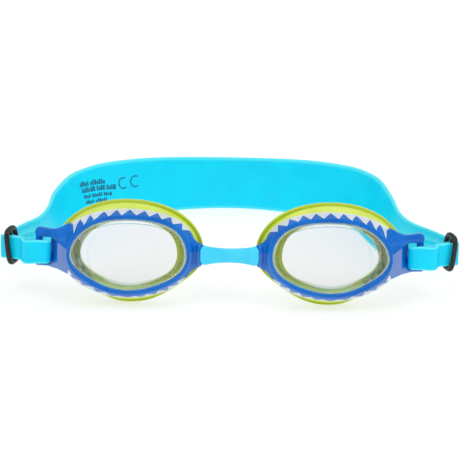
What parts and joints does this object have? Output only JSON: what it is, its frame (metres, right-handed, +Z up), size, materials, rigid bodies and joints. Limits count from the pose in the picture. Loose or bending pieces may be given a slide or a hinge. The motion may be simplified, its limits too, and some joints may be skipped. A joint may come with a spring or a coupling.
{
  "type": "swim goggles",
  "caption": "Children's swim goggles: clear lenses in toothed frames, soft face gaskets, a flexible nose bridge and a wide elastic head strap with sliders.",
  "frame": {"origin": "middle of the goggles' outline in plan, on the table that they stand on", "axes": "+X towards the right end as seen from the front of the lenses, +Y from the lenses towards the wearer and the back of the strap, +Z up"},
  "size_m": [0.1788, 0.1224, 0.0383],
  "materials": {
    "frame_blue": "semi-gloss",
    "lens_clear": "clear polished",
    "gasket_lime": "satin translucent",
    "teeth_white": "satin",
    "bridge_cyan": "satin",
    "strap_cyan": "satin",
    "slider_black": "glossy"
  },
  "bodies": {
    "left_cup": {"frame_left": "frame_blue", "lens_left": "lens_clear", "gasket_left": "gasket_lime", "upper_teeth_left": "teeth_white", "lower_teeth_left": "teeth_white", "nose_bridge": "bridge_cyan", "strap_band": "strap_cyan"},
    "right_cup": {"frame_right": "frame_blue", "lens_right": "lens_clear", "gasket_right": "gasket_lime", "upper_teeth_right": "teeth_white", "lower_teeth_right": "teeth_white"},
    "left_loop": {"strap_loop_left": "strap_cyan"},
    "right_loop": {"strap_loop_right": "strap_cyan"},
    "left_slider": {"slider_left": "slider_black"},
    "right_slider": {"slider_right": "slider_black"}
  },
  "joints": [
    {"name": "nose_flex", "type": "hinge", "parent": "left_cup", "child": "right_cup", "pos_m": [0, -0.05486, 0.02151], "axis": [0, 0, 1], "range_deg": [-12, 12], "stiffness_Nm_per_rad": 0.05, "deforming": ["nose_bridge", "strap_band"]},
    {"name": "left_loop_swing", "type": "hinge", "parent": "left_cup", "child": "left_loop", "pos_m": [-0.0739, -0.05139, 0.02055], "axis": [0, 0, -1], "range_deg": [-24, 38], "deforming": ["strap_band"]},
    {"name": "right_loop_swing", "type": "hinge", "parent": "right_cup", "child": "right_loop", "pos_m": [0.0739, -0.05139, 0.02055], "axis": [0, 0, 1], "range_deg": [-24, 38], "deforming": ["strap_band"]},
    {"name": "left_slider_slide", "type": "slide", "parent": "left_loop", "child": "left_slider", "axis": [0.8434, -0.5373, 0], "range_m": [0, 0.005]},
    {"name": "right_slider_slide", "type": "slide", "parent": "right_loop", "child": "right_slider", "axis": [-0.8434, -0.5373, 0], "range_m": [0, 0.005]}
  ]
}
